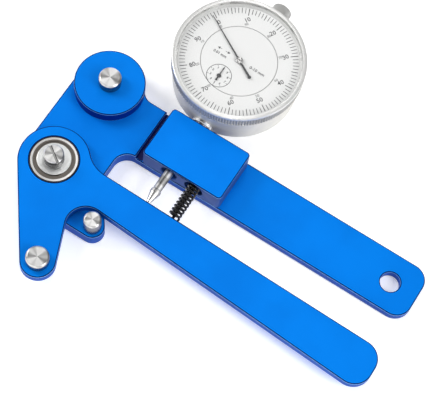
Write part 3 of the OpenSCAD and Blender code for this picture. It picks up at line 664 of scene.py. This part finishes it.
def coiled_wire(spring_low, spring_high):
    """The wire's round section, screwed round the axis and drawn out straight at both ends."""
    axis = (spring_low + spring_high) / 2
    straight_end = 3 * WIRE_R
    first_coil = spring_low.y + straight_end
    last_coil = spring_high.y - straight_end
    coil_r = (spring_high.x - spring_low.x) / 2 - WIRE_R
    wire_sides = 12
    steps = 24 * SPRING_COILS

    mesh = bmesh.new()
    begin = Vector((axis.x + coil_r, first_coil, axis.z))
    bmesh.ops.create_circle(mesh, cap_ends=False, radius=WIRE_R, segments=wire_sides,
                            matrix=Matrix.Translation(begin))
    bmesh.ops.spin(mesh, geom=mesh.verts[:] + mesh.edges[:], cent=axis, axis=-ACROSS,
                   angle=FULL_TURN * SPRING_COILS, dvec=ACROSS * ((last_coil - first_coil) / steps),
                   steps=steps, use_duplicate=False)
    for y_end, y_coil in ((spring_low.y, first_coil), (spring_high.y, last_coil)):
        middle = Vector((begin.x, (y_end + y_coil) / 2, begin.z))
        bmesh.ops.create_cone(mesh, cap_ends=True, radius1=WIRE_R, radius2=WIRE_R,
                              depth=abs(y_end - y_coil), segments=wire_sides,
                              matrix=Matrix.Translation(middle)
                              @ Matrix.Rotation(math.pi / 2, 4, "X"))
    bmesh.ops.recalc_face_normals(mesh, faces=mesh.faces)
    return mesh


def main_spring():
    """The black coil spring, built at one length; the real one shortens towards the block as the
    lever closes.
    """
    spring_low, spring_high = corners("main_spring")
    spring = piece("coiled_main_spring", coiled_wire(spring_low, spring_high),
                   "frame", "spring_steel", spring_wire, sharp_angle=70)
    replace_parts(spring, "main_spring")
    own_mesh(spring)


def guide_pin():
    """The tapered pin in the lever's edge that keeps the spring in place."""
    pin_l = length_of("spring_guide_pin", ACROSS)
    root_r, shoulder_r, end_r = 0.9 * MM, 0.6 * MM, 0.35 * MM
    profile = [(0, 0), (root_r, 0), (shoulder_r, pin_l - 0.4 * MM), (end_r, pin_l), (0, pin_l)]
    guide = spun(profile, foot_of("spring_guide_pin", ACROSS), ACROSS, steps=32)
    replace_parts(piece("tapered_guide_pin", guide, "lever", "spring_steel", spring_wire),
                "spring_guide_pin")


# ---------------------------------------------------------------- gauge: case, stem, bezel and cap

dial_centre = centre_of("scale_ring")
gauge_centre = Vector((dial_centre.x, dial_centre.y, 0))


def gauge_at(height):
    """The place on the gauge's axis at a height."""
    return Vector((gauge_centre.x, gauge_centre.y, height))


def case_and_back():
    """The satin silver case, its back cover and the cover's screws."""
    satin = turned("satin silver case", gauge_centre, UP, (0.80, 0.785, 0.74, 1.0),
                   groove=0.05, rough=0.40, metallic=0.45)
    for node in ("gauge_case", "back_cover"):
        softened(node, "frame", "gauge_metal", satin, HEAD_BREAK)
    softened("back_cover_screws", "frame", "turned_steel", bare_steel, SCREW_BREAK)


def stem_and_collar():
    """The gauge's stem and top bush, and the collar where the stem leaves the case."""
    for node in ("gauge_stem", "top_bush"):
        softened(node, "frame", "turned_steel", stem_steel, STEM_BREAK)
    foot = centre_of("gauge_stem")
    foot.y = corners("gauge_case")[0].y
    stem_r = radius_of("gauge_stem")
    neck_r = stem_r + 1.5 * MM
    bore_r = stem_r + 0.1 * MM
    back, front = -0.05 * MM, 2.3 * MM
    collar = spun([
        (neck_r - 0.3 * MM, back), (neck_r + 0.02 * MM, 0.25 * MM), (neck_r + 0.05 * MM, 2.2 * MM),
        (neck_r - 0.5 * MM, front), (bore_r, front), (bore_r, back),
    ], foot, ACROSS, steps=48)
    piece("stem_collar", collar, "frame", "turned_steel", stem_steel)


def contact_cone(tip):
    """The hardened contact point: a blunt cone, a collar and a neck, from its tip upwards."""
    point_r = radius_of("contact_point")
    point_l = length_of("contact_point", ACROSS)
    return spun([
        # the blunt tip
        (0, 0), (0.65 * MM, 0.05 * MM), (0.95 * MM, 0.4 * MM),
        # the cone and the collar above it
        (point_r - 0.2 * MM, 5.6 * MM), (point_r, 5.85 * MM), (point_r, 7.1 * MM),
        # the step down to the neck
        (point_r - 0.35 * MM, 7.5 * MM), (ROD_R, 7.7 * MM), (ROD_R, point_l), (0, point_l),
    ], tip, ACROSS, steps=40)


def plunger_rod(tip):
    """The ground plunger, with a small chamfer at both ends."""
    low, high = corners("plunger")
    foot, top = low.y - tip.y, high.y - tip.y
    chamfer = 0.2 * MM
    half = [(0, foot), (ROD_R - chamfer, foot), (ROD_R, foot + chamfer)]
    return spun(mirrored(half, foot + top), tip, ACROSS, steps=40)


def point_and_plunger():
    """The gauge's spindle and its point, turned and polished about one axis."""
    tip = foot_of("contact_point", ACROSS)
    # painted reflections and shade: bright and dark bands along the point and the plunger, put into
    # the colour
    point_steel = turned("polished point steel", tip, ACROSS, (0.98, 0.97, 0.96, 1.0),
                         groove=0.0, rough=0.3, metallic=0.7, shimmer=1.0)
    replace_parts(piece("contact_cone", contact_cone(tip), "plunger", "turned_steel", point_steel,
                      sharp_angle=25), "contact_point")
    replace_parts(piece("plunger_rod", plunger_rod(tip), "plunger", "turned_steel", point_steel),
                "plunger")


def ridged_bezel():
    """Polished rim over a serrated band, with the crystal's seat and the cone to the scale."""
    base = corners("bezel")[0].z
    outer = radius_of("bezel")
    top = length_of("bezel", UP)
    crystal_low, crystal_high = corners("crystal")
    crystal_r = radius_of("crystal")
    ring_r = radius_of("scale_ring")
    seat = crystal_low.z - base
    crystal_top = crystal_high.z - base
    face = top_of("scale_ring") - base
    band_r = outer - 0.9 * MM
    lip_r = crystal_r - 0.3 * MM
    return spun([
        # the foot and the floor of the serrated band
        (ring_r, 0), (outer - 0.5 * MM, 0), (outer - 0.2 * MM, 0.3 * MM), (band_r, 0.45 * MM),
        (band_r, top - 1.35 * MM),
        # the rounded rim
        (outer - 0.3 * MM, top - 1.3 * MM), (outer, top - 1.1 * MM), (outer, top - 0.7 * MM),
        (outer - 0.25 * MM, top - 0.2 * MM), (outer - 0.7 * MM, top),
        # the lip over the crystal, its seat and the cone down to the scale
        (crystal_r - 0.2 * MM, top), (lip_r, top - 0.15 * MM), (lip_r, crystal_top),
        (crystal_r, crystal_top), (crystal_r, seat), (crystal_r - 0.6 * MM, seat),
        (ring_r - 0.9 * MM, face), (ring_r, face),
    ], gauge_at(base), UP, steps=128)


def serrated_band():
    """The ring of straight teeth round the bezel, by which it is turned."""
    foot = gauge_at(corners("bezel")[0].z)
    outer = radius_of("bezel")
    height = length_of("bezel", UP)
    tip_r, root_r = outer - 0.05 * MM, outer - 1.2 * MM
    low, high = 0.42 * MM, height - 1.32 * MM
    mesh = spun([(root_r, low), (tip_r, low), (tip_r, high), (root_r, high)],
                foot, UP, steps=2 * BEZEL_TEETH)
    knurl(mesh, foot, UP, BEZEL_TEETH, low=0.3 * MM, high=height, depth=0.55 * MM,
          inner=outer - 0.5 * MM)
    return mesh


def bezel():
    """The bezel: its polished ring and its serrated band."""
    polished = plain_metal("polished bezel", (0.80, 0.80, 0.785, 1.0), rough=0.26,
                           grain_size=FINE_GRAIN, metallic=0.55)
    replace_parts(piece("polished_bezel", ridged_bezel(), "bezel", "bezel_metal", polished,
                      sharp_angle=28), "bezel")
    band_metal = plain_metal("serrated band metal", (0.50, 0.485, 0.45, 1.0), rough=0.4,
                             metallic=0.25)
    piece("serrated_band", serrated_band(), "bezel", "bezel_metal", band_metal, sharp_angle=28)


def knurled_cap():
    """The cap over the plunger's top, with a straight knurl round its outer half."""
    foot = foot_of("top_cap", ACROSS)
    outer = radius_of("top_cap")
    end = length_of("top_cap", ACROSS)
    neck_r = outer - 0.7 * MM
    bore_r = outer - 1.45 * MM
    floor = end - 0.95 * MM
    mesh = spun([
        # the neck
        (bore_r, 0), (neck_r, 0), (neck_r, 2.0 * MM),
        # the knurled head and its rounded end
        (outer - 0.15 * MM, 2.2 * MM), (outer, 2.5 * MM), (outer, end - 0.9 * MM),
        (outer - 0.5 * MM, end - 0.3 * MM), (outer - 1.0 * MM, end),
        # the end face and the bore from below
        (0, end), (0, floor), (bore_r, floor),
    ], foot, ACROSS, steps=2 * CAP_TEETH)
    knurl(mesh, foot, ACROSS, CAP_TEETH, low=2.45 * MM, high=end - 0.85 * MM, depth=0.6 * MM)
    return mesh


def top_cap():
    """The cap and its finish."""
    cap_steel = plain_metal("turned cap", (0.72, 0.72, 0.71, 1.0), rough=0.34,
                            grain_size=FINE_GRAIN, metallic=0.5)
    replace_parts(piece("knurled_cap", knurled_cap(), "frame", "turned_steel", cap_steel,
                      sharp_angle=28), "top_cap")


# ---------------------------------------------------------------- gauge: dial, marks and hands

scale_top = top_of("scale_ring")
inner_top = top_of("inner_dial")


def on_face(centre, angle, radius, top, turn=0.0):
    """A place on a dial: out along an angle, just above the face, turned by turn."""
    at = centre + Vector((math.cos(angle), math.sin(angle), 0)) * radius
    at.z = top + INK_T / 2 - INK_SINK
    return Matrix.Translation(at) @ Matrix.Rotation(turn, 4, "Z")


def around(start, count):
    """The angles of marks that stand clockwise round a dial from a start."""
    return [start - FULL_TURN * index / count for index in range(count)]


def scale_ticks(zero):
    """The hundred ticks of the scale: long and wide at each ten, less at each five."""
    tens, fives, ones = (3.4 * MM, 0.34 * MM), (3.1 * MM, 0.30 * MM), (2.6 * MM, 0.26 * MM)
    outer = radius_of("scale_ring") - 1.35 * MM
    mesh = bmesh.new()
    for index, angle in enumerate(around(zero, 100)):
        length, width = tens if index % 10 == 0 else fives if index % 5 == 0 else ones
        place = on_face(gauge_centre, angle, outer - length / 2, scale_top, angle)
        merge_into(mesh, plate(length, width, INK_T, place))
    return mesh


def flat_ring(centre, radius, width, top, steps=96):
    """A thin printed circle."""
    inner, outer = radius - width / 2, radius + width / 2
    return spun([(inner, 0), (outer, 0), (outer, INK_T), (inner, INK_T)],
                Vector((centre.x, centre.y, top - INK_SINK)), UP, steps)


def scale_marks():
    """The scale's ticks and numbers, the smaller reverse numbers and the line inside them."""
    zero = math.pi / 2 + DIAL_TURN
    number_r, number_h = 21.0 * MM, 3.0 * MM
    reverse_r, reverse_h = 18.7 * MM, 1.8 * MM
    ticks = scale_ticks(zero)
    reverse = bmesh.new()
    for step, angle in enumerate(around(zero, 10)):
        at_number = on_face(gauge_centre, angle, number_r, scale_top, DIAL_TURN)
        at_reverse = on_face(gauge_centre, angle, reverse_r, scale_top, DIAL_TURN)
        merge_into(ticks, lettering(str(10 * step), number_h, at_number))
        merge_into(reverse, lettering(str(10 * (10 - step) % 100), reverse_h, at_reverse))
    piece("scale_ticks_and_numbers", ticks, "bezel", "hand_black", ink)
    piece("reverse_numbers", reverse, "bezel", "hand_black", pale_ink)
    line = flat_ring(gauge_centre, radius=17.35 * MM, width=0.16 * MM, top=scale_top)
    piece("scale_edge_line", line, "bezel", "hand_black", pale_ink)


def turn_counter():
    """The small dial that counts the main hand's turns; its numbers run against the clock."""
    hub = centre_of("rack_arbor")
    centre = Vector((hub.x, hub.y, 0))
    radius = 5.6 * MM
    tick_l, tick_w, tick_r = 0.9 * MM, 0.16 * MM, radius - 0.5 * MM
    number_h, number_r = 1.5 * MM, 3.9 * MM
    counter = flat_ring(centre, radius, 0.24 * MM, inner_top, steps=64)
    for step in range(10):
        angle = math.pi / 2 + FULL_TURN * step / 10
        merge_into(counter, plate(tick_l, tick_w, INK_T,
                                  on_face(centre, angle, tick_r, inner_top, angle)))
        merge_into(counter, lettering(str(step), number_h,
                                      on_face(centre, angle, number_r, inner_top)))
    piece("turn_counter_marks", counter, "frame", "hand_black", ink)


def dial_notes():
    """Two arrows for the directions of turning, and the plain range marks in millimetres."""
    mark = on_face(gauge_centre, 0, 0, inner_top)
    shaft_l, shaft_w, head_r = 1.6 * MM, 0.18 * MM, 0.75 * MM
    notes = bmesh.new()
    for x, way in ((-10.1 * MM, 1), (-6.6 * MM, -1)):
        place = Matrix.Translation((x, 0.8 * MM, 0)) @ mark
        merge_into(notes, plate(shaft_l, shaft_w, INK_T, place))
        head = bmesh.new()
        bmesh.ops.create_cone(head, cap_ends=True, radius1=head_r, radius2=head_r, depth=INK_T,
                              segments=3, matrix=Matrix.Translation((-0.7 * way * MM, 0, 0))
                              @ place @ Matrix.Rotation(math.pi / 2 * way, 4, "Z"))
        merge_into(notes, head)
    for text, height, x, y in (("0.01 mm", 1.9 * MM, -9.0 * MM, -1.7 * MM),
                               ("0-10 mm", 2.1 * MM, 9.3 * MM, 0)):
        merge_into(notes, lettering(text, height, Matrix.Translation((x, y, 0)) @ mark))
    piece("dial_notes", notes, "frame", "hand_black", ink)


def pointer_boss():
    """The bright boss that presses the main pointer onto its arbor."""
    bore_r, boss_r, boss_h = 0.35 * MM, 1.55 * MM, 0.3 * MM
    boss = spun([
        (bore_r, 0), (boss_r, 0), (boss_r, 0.22 * MM), (boss_r - 0.15 * MM, boss_h),
        (bore_r + 0.1 * MM, boss_h), (bore_r, boss_h - 0.1 * MM),
    ], gauge_at(top_of("main_pointer")), UP, steps=40)
    piece("pointer_boss", boss, "main_hand", "turned_steel", bare_steel)


# ---------------------------------------------------------------- CAD nodes that only get a finish

def finish_plain_nodes():
    """Gives the nodes that stay as the CAD has them their materials."""
    crystal = clear_crystal()
    for material, names in (
        (white, ("scale_ring", "inner_dial")),
        (black_hand, ("small_pointer", "main_pointer")),
        (crystal, ("crystal",)),
        (race_steel, ("bearing_balls", "bearing_inner_race")),
        (shield_steel, ("bearing_shields", "thrust_washer")),
        (bare_steel, ("pivot_stud", "plunger_key", "spring_anchor", "rack_arbor", "centre_arbor",
                      "takeup_arbor")),
        (brass, ("bearing_cage", "key_guide", "movement_bridge", "movement_pillars", "rack_wheel",
                 "takeup_wheel")),
        (spring_wire, ("return_spring", "hairspring", "bezel_ring")),
    ):
        for name in names:
            nodes[name].data.materials.clear()
            nodes[name].data.materials.append(material)


# ---------------------------------------------------------------- studio

AIM = Vector((0.08, 0.03, 0.01))      # the middle of the tool


def pale_floor():
    """A wide floor just under the tool."""
    drop, half_width = 0.2 * MM, 3.0
    floor = bmesh.new()
    bmesh.ops.create_grid(floor, x_segments=1, y_segments=1, size=half_width,
                          matrix=Matrix.Translation((AIM.x, AIM.y, -drop)))
    data = bpy.data.meshes.new("floor")
    floor.to_mesh(data)
    floor.free()
    data.materials.append(printed("pale floor", (0.98, 0.98, 0.98, 1.0), rough=0.8, glow=0.30))
    ground = bpy.data.objects.new("floor", data)
    bpy.context.scene.collection.objects.link(ground)


def white_world(strength):
    """Even light from all around."""
    world = bpy.data.worlds.new("studio")
    world.use_nodes = True
    background = world.node_tree.nodes["Background"]
    background.inputs["Color"].default_value = (1.0, 1.0, 1.0, 1.0)
    background.inputs["Strength"].default_value = strength
    bpy.context.scene.world = world


def softbox(name, place, width, height, power):
    """A rectangular studio light aimed at the tool."""
    data = bpy.data.lights.new(name, "AREA")
    data.shape = "RECTANGLE"
    data.size = width
    data.size_y = height
    data.energy = power
    light = bpy.data.objects.new(name, data)
    light.location = place
    light.rotation_euler = (AIM - Vector(place)).to_track_quat("-Z", "Y").to_euler()
    bpy.context.scene.collection.objects.link(light)


def photograph_camera():
    """The camera at the photograph's viewing angle, solved from the tool's outline."""
    image_w, image_h = 433, 416
    focal_px = 1500
    centre_x, centre_y = 210.6, 251.3       # the optical centre, in pixels from the top left
    sensor = 36.0
    data = bpy.data.cameras.new("camera")
    data.sensor_width = sensor
    data.lens = sensor * focal_px / image_w
    data.shift_x = (image_w / 2 - centre_x) / image_w
    data.shift_y = (centre_y - image_h / 2) / image_w
    data.clip_start, data.clip_end = 0.01, 20.0
    camera = bpy.data.objects.new("camera", data)
    place = Vector((0.1570, -0.21114, 0.62244))
    right = Vector((0.84557, 0.52814, 0.07797))
    up = Vector((-0.52066, 0.78355, 0.33907))
    back = right.cross(up).normalized()
    turn = Matrix((right, up, back)).transposed().to_4x4()
    camera.matrix_world = Matrix.Translation(place) @ turn
    bpy.context.scene.collection.objects.link(camera)
    bpy.context.scene.camera = camera


def studio():
    """Pale floor, soft lights and the camera."""
    pale_floor()
    white_world(strength=0.30)
    softbox("overhead strip", (-0.06, 0.37, 0.88), width=0.10, height=1.5, power=1.8)
    softbox("left window", (-0.85, 0.0, 0.60), width=0.4, height=0.8, power=8.0)
    softbox("right window", (0.95, 0.0, 0.75), width=0.4, height=0.8, power=8.0)
    softbox("front edge light", (0.0, -0.95, 0.42), width=1.2, height=0.16, power=2.2)
    photograph_camera()
    bpy.context.scene.view_settings.view_transform = "Standard"


# ---------------------------------------------------------------- the whole meter

arms_block_and_disc()
posts_nut_and_washer()
bearing()
black_screws()
nut_slot_and_thread()
relief_groove()
main_spring()
guide_pin()
case_and_back()
stem_and_collar()
point_and_plunger()
bezel()
top_cap()
scale_marks()
turn_counter()
dial_notes()
pointer_boss()
finish_plain_nodes()
studio()
